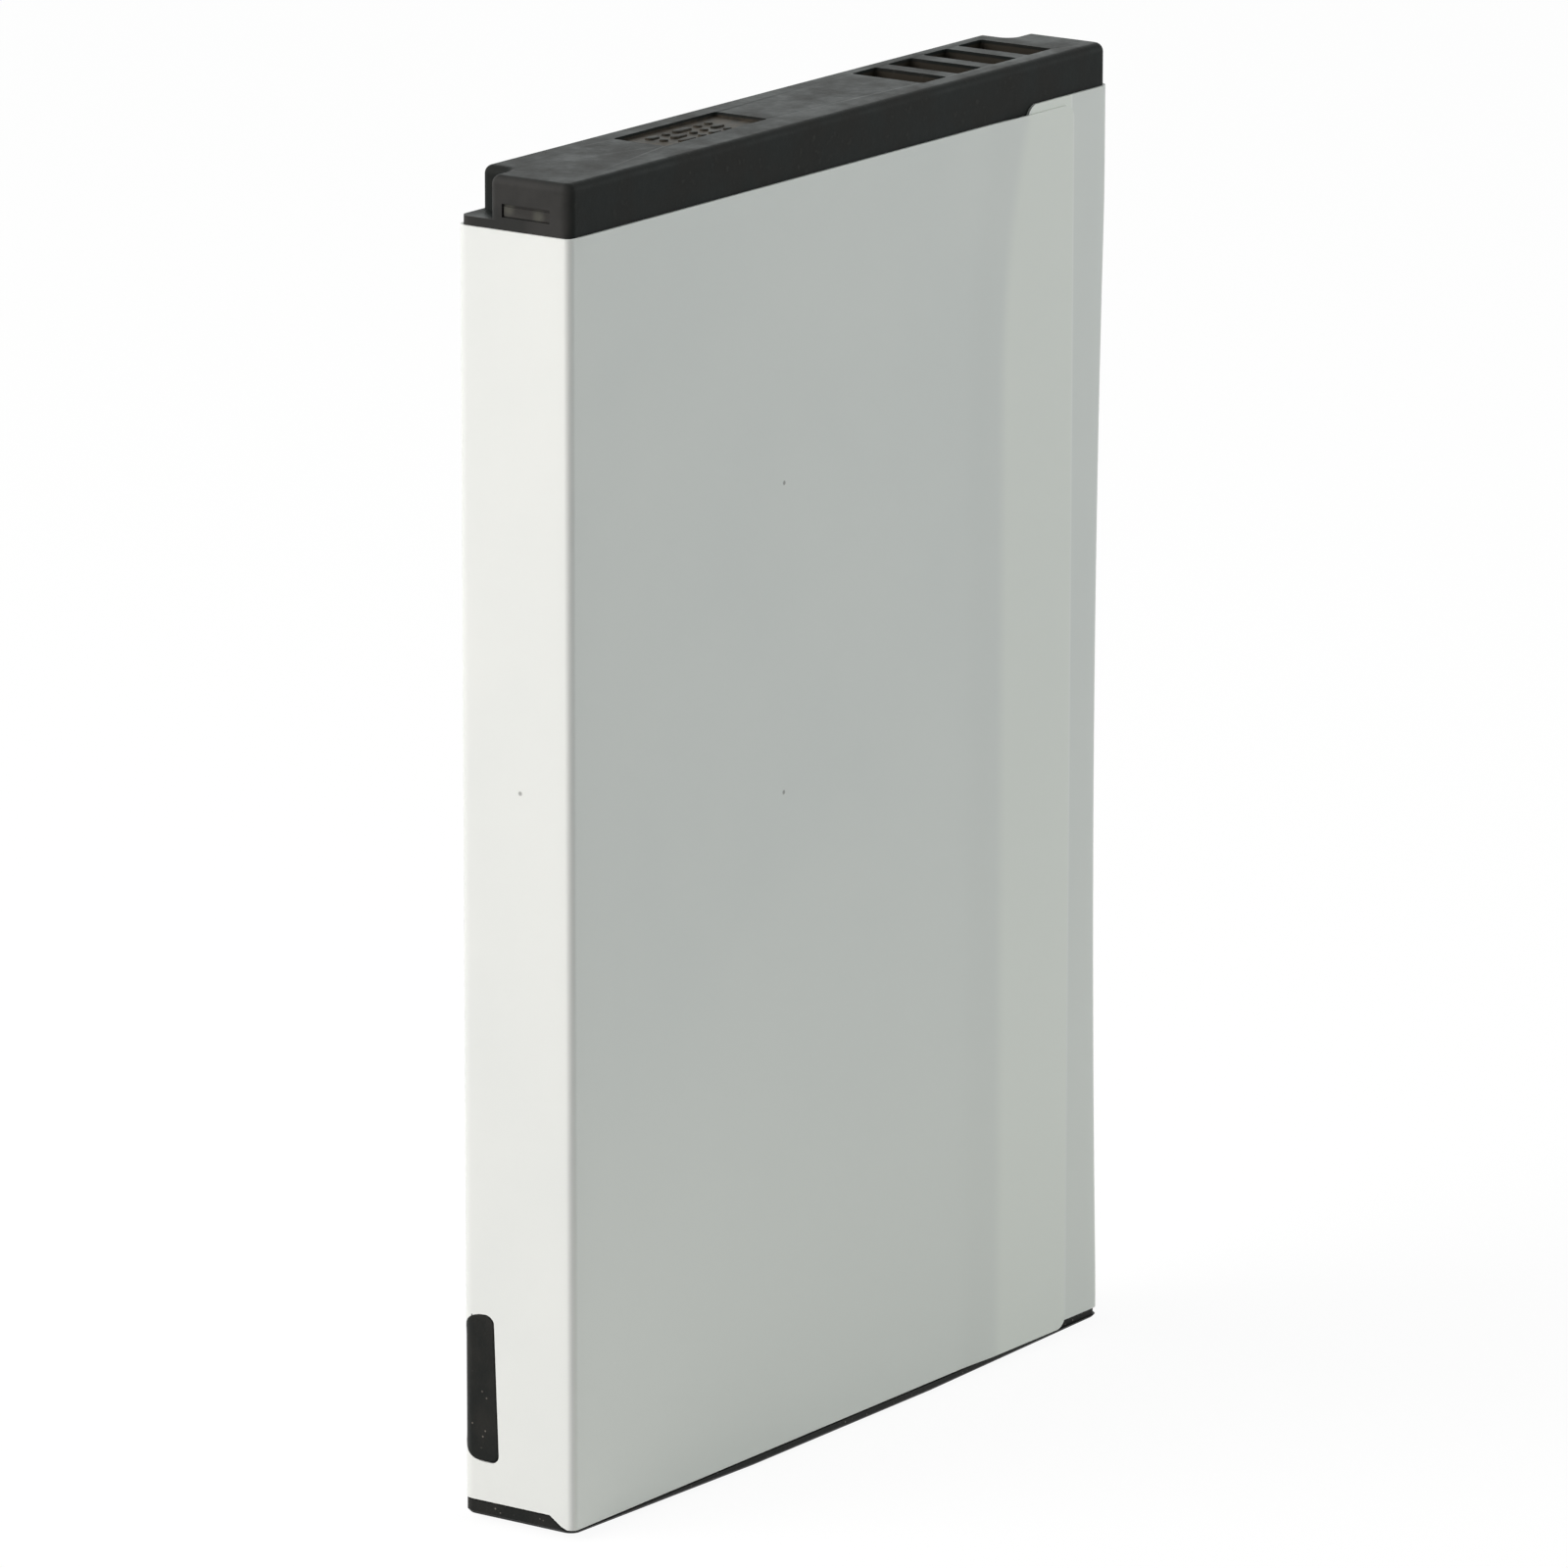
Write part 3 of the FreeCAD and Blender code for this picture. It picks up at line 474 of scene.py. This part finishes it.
# %% Soft edges
SOFTNESS = 0.1
SOFT_STEPS = 3
WELD_REACH = 0.001
SHARP_FROM = math.radians(40)
for name in ("top_cap", "side_frame"):
    weld = nodes[name].modifiers.new("joined", "WELD")
    weld.merge_threshold = WELD_REACH * MM
    soft = nodes[name].modifiers.new("soft_edges", "BEVEL")
    soft.width = SOFTNESS * MM
    soft.segments = SOFT_STEPS
    soft.limit_method = "ANGLE"
    soft.angle_limit = SHARP_FROM
    nodes[name].modifiers.new("flat_faces", "WEIGHTED_NORMAL")
    print(name, "edges softened by", SOFTNESS, "mm")

# %% [markdown]
# ## The shape under the film
#
# The film follows the moulding: a box with rounded upright edges, whose right side is drawn in
# towards the middle of its height. To lay a sheet on it, only two things have to be known: where
# a point on its outside is, and which way it faces there.

# %% The moulding's outline
HALF_WIDTH = 20.7
EDGE_RADIUS = 0.5
SEAM = 55.7  # height where frame and cap meet
WAIST = 0.5  # how far the right side is drawn in at half height
WAIST_BLEND = 4.0  # height over which the waist begins and ends
TURN = 2 * math.atan(2 * WAIST / SEAM)
BLEND_RADIUS = WAIST_BLEND / math.sin(TURN)
WAIST_RADIUS = (SEAM / 2 - WAIST_BLEND) / math.sin(TURN)


def rise(radius, run):
    """How far an arc has risen after a run along its tangent."""
    return radius - math.sqrt(radius * radius - run * run)


def waist_inset(height):
    """How far the right side is drawn in."""
    from_end = min(height, SEAM - height)
    if from_end <= 0:
        return 0.0
    if from_end < WAIST_BLEND:
        return rise(BLEND_RADIUS, from_end)
    return WAIST - rise(WAIST_RADIUS, height - SEAM / 2)


print("waist at half height:", round(waist_inset(SEAM / 2), 3), "mm")

# %% [markdown]
# ## Laying the film
#
# The film could be simulated as cloth, but it is stuck down all over and can't move. It is laid
# as a grid instead: columns along the wrap, from its inner end on the front, round the right
# side, the rear and the left side, back to the front, and rows up it. Each column knows its place
# on the outline at any height, and where the film's lower and upper edges are there.

# %% Lower and upper edges of the film
FILM_TOP = 58.45
FLAP_TOP = 58.85
FILM_BOTTOM = 0.47
FLAP_BOTTOM = 0.75
SIDE_BOTTOM = 1.0
SLANT_FRONT = -2.55
SLANT_REAR = -1.75


def lower_edge(y):
    """Lower edge on a side, slanting up from the front panel's."""
    share = (y - SLANT_FRONT) / (SLANT_REAR - SLANT_FRONT)
    return FILM_BOTTOM + (SIDE_BOTTOM - FILM_BOTTOM) * min(max(share, 0), 1)


def upper_edge(x):
    """Upper edge round the pack, a little higher on the right."""
    return FILM_TOP + (FLAP_TOP - FILM_TOP) * (x + HALF_WIDTH) / (2 * HALF_WIDTH)


print("film height at the rear:", round(upper_edge(0) - lower_edge(HALF_DEPTH), 2), "mm")

# %% Ends of the film


def round_off(radius, from_end):
    """How far an edge draws back near a rounded corner of the film."""
    return rise(radius, radius - from_end) if from_end < radius else 0.0


def flap_edge(height):
    """Inner end of the film: upright, then drawn back along an arc."""
    return FLAP_END + rise(FLAP_RADIUS, max(height - FLAP_BEND, 0))


print("inner end at the top:", round(flap_edge(FLAP_TOP), 2), "mm from the middle")

# %% Columns on the inner end and on the outer layer
FLAP_CORNER = 0.5  # radius of the inner end's upper corner
END_CORNER = 0.7  # radius of the outer end's corners
TENT = 3.0  # how far before the inner end the outer layer begins to lift


def flap_column(from_end):
    """Column on the film's beginning, between its inner end and the right front edge."""
    share = from_end / (HALF_WIDTH - EDGE_RADIUS - flap_edge(FLAP_TOP))

    def point(height):
        start = flap_edge(height)
        end = HALF_WIDTH - EDGE_RADIUS - waist_inset(height)
        return Vector((start + (end - start) * share, -HALF_DEPTH - FILM))
    return point, FLAP_BOTTOM, FLAP_TOP - round_off(FLAP_CORNER, from_end)


def front_column(x):
    """Column on the outer layer, which lifts gently over the inner end."""
    def point(height):
        share = min(max((x - flap_edge(height) + TENT) / TENT, 0), 1)
        lift = FILM * share * share * (3 - 2 * share)
        return Vector((x, -HALF_DEPTH - FILM - lift))
    drawn = round_off(END_CORNER, FILM_END - x)
    return point, FILM_BOTTOM + drawn, FILM_TOP - drawn


print("lift beside the outer end:", round(-HALF_DEPTH - FILM - front_column(FILM_END)[0](0).y, 3), "mm")

# %% Columns on the upright edges and the left side
CREASE = 0.25  # the film is bent tighter round the left front edge
PROUD = 0.025  # it stands a hair above the frame round the hole
ARC_STEPS = 10


def edge_column(side_x, side_y, angle):
    """Column on a rounded upright edge."""
    facing = Vector((math.cos(angle), math.sin(angle)))
    left_front = side_x < 0 and side_y < 0
    bend = CREASE if left_front else EDGE_RADIUS
    proud = PROUD * math.sin(2 * angle) ** 2 if side_x < 0 < side_y else 0.0

    def point(height):
        half_width = HALF_WIDTH - (waist_inset(height) if side_x > 0 else 0)
        centre = Vector((side_x * (half_width - bend), side_y * (HALF_DEPTH - bend)))
        return centre + facing * (bend + FILM + proud)
    place = point(0)
    lowest = lower_edge(place.y) if side_x < 0 else max(lower_edge(place.y), FLAP_BOTTOM)
    return point, lowest, FILM_TOP if left_front else min(upper_edge(place.x), FLAP_TOP)


def round_edge(side_x, side_y, quarter):
    """All columns of an upright edge, which is a quarter of a turn."""
    turns = [quarter + step / ARC_STEPS for step in range(ARC_STEPS + 1)]
    return [edge_column(side_x, side_y, turn * math.pi / 2) for turn in turns]


def side_column(y):
    """Column on the left side."""
    return (lambda height: Vector((-HALF_WIDTH - FILM, y))), lower_edge(y), upper_edge(-HALF_WIDTH)


print("columns on an edge:", len(round_edge(1, -1, 3)))

# %% All columns, in the order of the wrap
CORNER_STEPS = 8
corner_turns = [step / CORNER_STEPS * math.pi / 2 for step in range(CORNER_STEPS + 1)]
FLAP_STOPS = (1.0, 2.0, 3.5, 5.0)
SIDE_STOPS = (2.0, 1.0, 0.0, -1.0, SLANT_REAR, -2.1, -2.4)
FRONT_FROM, FRONT_TO = -19, 8  # columns a millimetre apart where the front is flat
FINE_FROM, FINE_STEP, FINE_COUNT = 7.8, 0.2, 46  # close columns where the outer layer lifts
columns = [flap_column(FLAP_CORNER * (1 - math.cos(turn))) for turn in corner_turns]
columns += [flap_column(from_end) for from_end in FLAP_STOPS]
columns += round_edge(1, -1, 3) + round_edge(1, 1, 0) + round_edge(-1, 1, 1)
columns += [side_column(y) for y in SIDE_STOPS]
columns += round_edge(-1, -1, 2)
columns += [front_column(x) for x in range(FRONT_FROM, FRONT_TO)]
columns += [front_column(FINE_FROM + step * FINE_STEP) for step in range(FINE_COUNT)]
columns += [front_column(FILM_END - END_CORNER + END_CORNER * math.sin(turn)) for turn in corner_turns]
print("film:", len(columns), "columns")

# %% [markdown]
# ## From grid to film
#
# The grid is the film's outer face. A Solidify modifier gives it the thickness inwards, and a
# Boolean takes out the round-cornered hole over the left rear edge, where the frame shows. Both
# are worked out at once and kept as a plain mesh, so that the result doesn't hang on a helper
# object.

# %% The film's outer face
ROWS = 56


def piece(name, shape):
    """Object in the scene, with the mesh that a bmesh has built."""
    mesh = bpy.data.meshes.new(name)
    shape.to_mesh(mesh)
    shape.free()
    made = bpy.data.objects.new(name, mesh)
    bpy.context.scene.collection.objects.link(made)
    return made


film_face = bmesh.new()
grid = []
for point, low, high in columns:
    heights = [low + (high - low) * row / ROWS for row in range(ROWS + 1)]
    grid.append([film_face.verts.new((point(h).x * MM, point(h).y * MM, h * MM)) for h in heights])
for left, right in zip(grid, grid[1:]):
    for row in range(ROWS):
        film_face.faces.new((left[row], right[row], right[row + 1], left[row + 1]))
label_film = piece("label_film", film_face)
print("film face:", len(label_film.data.polygons), "faces")

# %% The hole's cutter
HOLE_LOW = Vector((-2.3, -1.55, 2.8))  # two corners, measured from the axis of the rounded edge
HOLE_HIGH = Vector((0.7, 0.34, 9.6))
HOLE_LEAN = 0.22  # the hole's front edge leans back towards the top
HOLE_FRONT_RADIUS, HOLE_REAR_RADIUS = 0.4, 1.2
HOLE_STEPS = 8  # facets of a rounded corner
hole_middle = (HOLE_LOW + HOLE_HIGH) / 2


def box(low, high):
    """Box between two corners."""
    shape = bmesh.new()
    bmesh.ops.create_cube(shape, size=1.0)
    for vertex in shape.verts:
        vertex.co = [a if side < 0 else b for side, a, b in zip(vertex.co, low, high)]
    return shape


hole = box(HOLE_LOW, HOLE_HIGH)
for vertex in hole.verts:
    if vertex.co.y < hole_middle.y and vertex.co.z > hole_middle.z:
        vertex.co.y += HOLE_LEAN
for in_front, radius in ((True, HOLE_FRONT_RADIUS), (False, HOLE_REAR_RADIUS)):
    corners = []
    for edge in hole.edges:
        start, end = (vertex.co for vertex in edge.verts)
        goes_through = abs(start.x - end.x) > FILM
        if goes_through and (start.y < hole_middle.y) == in_front:
            corners.append(edge)
    bmesh.ops.bevel(
        hole, geom=corners, offset=radius, segments=HOLE_STEPS, profile=0.5, affect="EDGES")
print("hole:", len(hole.faces), "faces")

# %% The cutter in its place
EDGE_AXIS = Vector((EDGE_RADIUS - HALF_WIDTH, HALF_DEPTH - EDGE_RADIUS, 0))
HOLE_TURN = math.radians(-30)
placed = Matrix.Scale(MM, 4) @ Matrix.Translation(EDGE_AXIS) @ Matrix.Rotation(HOLE_TURN, 4, "Z")
bmesh.ops.transform(hole, matrix=placed, verts=hole.verts)
cutter = piece("film_hole", hole)
print("cutter over the left rear edge, turned by", round(math.degrees(HOLE_TURN)), "degrees")

# %% Thickness and hole
GLUE = 0.005  # gap between film and what it lies on
thick = label_film.modifiers.new("thickness", "SOLIDIFY")
thick.thickness = (FILM - GLUE) * MM
thick.offset = -1.0
cut = label_film.modifiers.new("hole", "BOOLEAN")
cut.operation = "DIFFERENCE"
cut.solver = "EXACT"
cut.object = cutter
ready = label_film.evaluated_get(bpy.context.evaluated_depsgraph_get())
film_mesh = bpy.data.meshes.new_from_object(ready)
label_film.modifiers.clear()
label_film.data = film_mesh
bpy.data.objects.remove(cutter)
print("film:", len(film_mesh.polygons), "faces with its hole")

# %% The film in its finish
CUT_ANGLE = math.radians(35)  # the film's cut edges stay sharp, its bends are smooth
film_mesh.materials.clear()
film_mesh.materials.append(film.material)
film_mesh.shade_smooth()
film_mesh.set_sharp_from_angle(angle=CUT_ANGLE)
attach(label_film, "root")
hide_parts("label_wrap")
print("film stands in for its solid")

# %% [markdown]
# ## Marks in the sunk panel
#
# The cap's top has a sunk panel with small raised marks, made in the mould. They are kept plain:
# rows of rounded bars and pips. Each is a flat outline with round ends, pushed up and softened on
# top, and all of them are one moulding with the cap, so they are one mesh in the cap's plastic.

# %% Outline of a mark
MARK_WIDTH = 0.4
END_STEPS = 6


def mark_outline(left, y, length):
    """Bar with round ends, or a round pip where it is no longer than wide."""
    radius = MARK_WIDTH / 2
    outline = []
    for centre, quarter in ((left + length - radius, -1), (left + radius, 1)):
        for step in range(END_STEPS + 1):
            angle = (quarter + 2 * step / END_STEPS) * math.pi / 2
            outline.append(Vector((centre + radius * math.cos(angle), y + radius * math.sin(angle))))
    if length <= MARK_WIDTH:
        outline = outline[:END_STEPS] + outline[END_STEPS + 1:-1]
    return outline


print("corners of a pip:", len(mark_outline(0, 0, MARK_WIDTH)))

# %% A raised mark
PANEL_FLOOR = 60.6
MARK_HEIGHT = 0.08
MARK_PROFILE = ((0.0, 0.0), (0.0, 0.6), (0.12, 0.9), (0.3, 1.0))  # shares: inset, height


def raise_mark(shape, outline, middle):
    """Push an outline up from the panel's floor, drawn in towards the top."""
    rings = []
    for inset, height in MARK_PROFILE:
        level = PANEL_FLOOR + MARK_HEIGHT * height
        ring = []
        for corner in outline:
            place = corner + (middle - corner).normalized() * inset * MARK_WIDTH / 2
            ring.append(shape.verts.new((place.x * MM, place.y * MM, level * MM)))
        rings.append(ring)
    for lower, upper in zip(rings, rings[1:]):
        for a in range(len(lower)):
            b = (a + 1) % len(lower)
            shape.faces.new((lower[a], lower[b], upper[b], upper[a]))
    shape.faces.new(rings[-1])
    shape.faces.new(list(reversed(rings[0])))


print("marks stand", MARK_HEIGHT, "mm high")

# %% Rows of bars and pips
MARK_GAP = 0.4
MARK_ROWS = {  # place of each row, and the lengths of its marks
    0.95: (0.8, 0.4, 1.2, 0.4, 0.4),
    0.25: (0.4, 1.0, 0.4, 0.4, 0.8),
    -0.45: (1.1, 0.4, 0.7, 0.4),
}
MARK_ANGLE = math.radians(50)
marks = bmesh.new()
for row_y, lengths in MARK_ROWS.items():
    used = sum(lengths) + MARK_GAP * (len(lengths) - 1)
    left = (PANEL_LEFT + PANEL_RIGHT - used) / 2
    for length in lengths:
        raise_mark(marks, mark_outline(left, row_y, length), Vector((left + length / 2, row_y)))
        left += length + MARK_GAP
panel_marks = piece("panel_marks", marks)
panel_marks.data.shade_smooth()
panel_marks.data.set_sharp_from_angle(angle=MARK_ANGLE)
panel_marks.data.materials.append(black_plastic.material)
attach(panel_marks, "root")
print("marks:", sum(len(lengths) for lengths in MARK_ROWS.values()))

# %% [markdown]
# ## Dust round the snap nub
# The frame's nub doesn't quite fill the window in the cap's end. The gap could stay open, but it
# shows as a dark shade. A thin plate a little behind the nub's face closes it, in the frame's
# dusty plastic, so that lit plastic stands where the gap's shade would be.

# %% The imported gap
WINDOW_LOW = (-20.57, -1.89, 59.01)
WINDOW_HIGH = (-20.55, 0.64, 59.59)
# The plate stands in for the gap's shade with lit plastic.
plate = box(WINDOW_LOW, WINDOW_HIGH)
bmesh.ops.scale(plate, vec=(MM, MM, MM), verts=plate.verts)
nub_gap_plate = piece("nub_gap_plate", plate)
nub_gap_plate.data.materials.append(dusty_plastic.material)
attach(nub_gap_plate, "root")
print("window gap packed with", len(nub_gap_plate.data.polygons), "faces")

# %% [markdown]
# ## Floor and surroundings
#
# The pack stands on a plain white floor in white surroundings. White could come from strong
# lamps, but then the film would burn out. Instead the camera and what mirrors see white, through
# Light Path, while the light that falls on the pack stays at a plain level. The floor adds a
# little real paper to its glow, so that the pack keeps a soft shadow.

# %% Which rays see white
WHITE = linear(1, 1, 1)


def in_view(web):
    """1 for rays that show the background: straight on, mirrored or through something clear."""
    rays = ("Is Camera Ray", "Is Glossy Ray", "Is Transmission Ray")
    straight, mirrored, through = (web.node("ShaderNodeLightPath", output=ray) for ray in rays)
    return straight + mirrored + through


print("white is seen, not cast")

# %% The floor
FLOOR_HALF = 4.0  # in metres
FLOOR_DROP = 0.00002  # a hair below the foot
FLOOR_GLOW = 0.93
FLOOR_PAPER = 0.1  # how much of the paper is seen in its glow
FLOOR_BOUNCE = 0.58  # how much light it throws back on the pack
paper = Finish("floor_paper")
glow = paper.node("ShaderNodeEmission", inputs={"Color": WHITE, "Strength": FLOOR_GLOW})
faint = paper.node("ShaderNodeBsdfDiffuse", inputs={"Color": linear(*[FLOOR_PAPER] * 3)})
shown = paper.node("ShaderNodeAddShader", inputs={0: glow, 1: faint})
plain = paper.node("ShaderNodeBsdfDiffuse", inputs={"Color": linear(*[FLOOR_BOUNCE] * 3)})
mixed = paper.node("ShaderNodeMixShader", inputs={0: in_view(paper), 1: plain, 2: shown})
paper.put(paper.tree.nodes["Material Output"].inputs["Surface"], mixed)
paper.tree.nodes.remove(paper.shader)
sheet = bmesh.new()
bmesh.ops.create_grid(sheet, x_segments=1, y_segments=1, size=FLOOR_HALF)
floor = piece("floor", sheet)
floor.location.z = -FLOOR_DROP
floor.data.materials.append(paper.material)
floor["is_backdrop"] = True
print("floor:", 2 * FLOOR_HALF, "m wide")

# %% The surroundings
AMBIENT = 0.13
AMBIENT_TINT = linear(0.93, 1.0, 0.985)
room = Web(bpy.data.worlds.new("white_room"))
lit = room.node("ShaderNodeBackground", inputs={"Color": AMBIENT_TINT, "Strength": AMBIENT})
white = room.node("ShaderNodeBackground", inputs={"Color": WHITE, "Strength": 1.0})
choice = room.node("ShaderNodeMixShader", inputs={0: in_view(room), 1: lit, 2: white})
room.put(room.tree.nodes["World Output"].inputs["Surface"], choice)
bpy.context.scene.world = room.owner
bpy.context.scene.view_settings.view_transform = "Standard"
print("surroundings light the pack at", AMBIENT)

# %% [markdown]
# ## Lamps
#
# The narrow left side is almost white and the broad front is grey, so the main light stands at
# the left and a little to the rear. Large, near lamps give the soft edges of a studio tent. A
# cooler one from the front right fills the broad face. Black plastic shows little of its own
# colour and mostly what it mirrors, so two more lamps stand where the cap mirrors them towards
# the camera: one above the rear for its rounded edges, one low at the rear right for its top.

# %% Four soft lamps
LAMPS = (  # name, place and width in metres, watts, colour
    ("side_lamp", (-0.47, 0.25, 0.24), 0.5, 2.67, (1.0, 0.955, 0.936)),
    ("fill_lamp", (0.4, -0.45, 0.22), 0.5, 1.7, (0.965, 1.0, 0.985)),
    ("edge_lamp", (-0.26, 0.33, 0.5), 0.6, 1.4, (1.0, 1.0, 0.98)),
    ("sheen_lamp", (0.6, 0.48, 0.25), 0.5, 0.6, (0.93, 1.0, 0.98)),
)
TARGET = Vector((0, 0, 0.03))
for name, stand, width, power, colour in LAMPS:
    lamp = bpy.data.lights.new(name, "AREA")
    lamp.shape = "DISK"
    lamp.size = width
    lamp.energy = power
    lamp.color = colour
    lamp_object = bpy.data.objects.new(name, lamp)
    lamp_object.location = stand
    lamp_object.rotation_euler = (TARGET - Vector(stand)).to_track_quat("-Z", "Y").to_euler()
    bpy.context.scene.collection.objects.link(lamp_object)
    print(name, "at", stand)

# %% [markdown]
# ## Camera
#
# The camera's place and focal length follow from the photograph's vanishing lines and the pack's
# own size: it stands far to the left, a little above, with a long lens.

# %% The camera
CAMERA_PLACE = Vector((-0.419454, -0.296709, 0.159408))
CAMERA_AIM = Vector((0.79122, 0.56042, -0.24474))
CAMERA_ROLL = math.radians(0.087)
FOCAL_LENGTH, SENSOR_WIDTH = 270.5, 36.0
NEAR, FAR = 0.01, 50.0
lens = bpy.data.cameras.new("camera")
lens.sensor_width = SENSOR_WIDTH
lens.lens = FOCAL_LENGTH
lens.clip_start = NEAR
lens.clip_end = FAR
camera = bpy.data.objects.new("camera", lens)
turn = CAMERA_AIM.to_track_quat("-Z", "Y").to_matrix() @ Matrix.Rotation(CAMERA_ROLL, 3, "Z")
camera.matrix_world = Matrix.Translation(CAMERA_PLACE) @ turn.to_4x4()
bpy.context.scene.collection.objects.link(camera)
bpy.context.scene.camera = camera
print("camera", round((CAMERA_PLACE - TARGET).length, 3), "m away")

# %% [markdown]
# ## Size of the finished model
#
# What was added must not make the pack bigger than its solids, so both boxes are written down
# side by side before the scene is closed.

# %% Both boxes
low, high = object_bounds()
print("grown by, in mm:", [round((a - b) / MM, 3) for a, b in zip(high - low, cad_high - cad_low)])
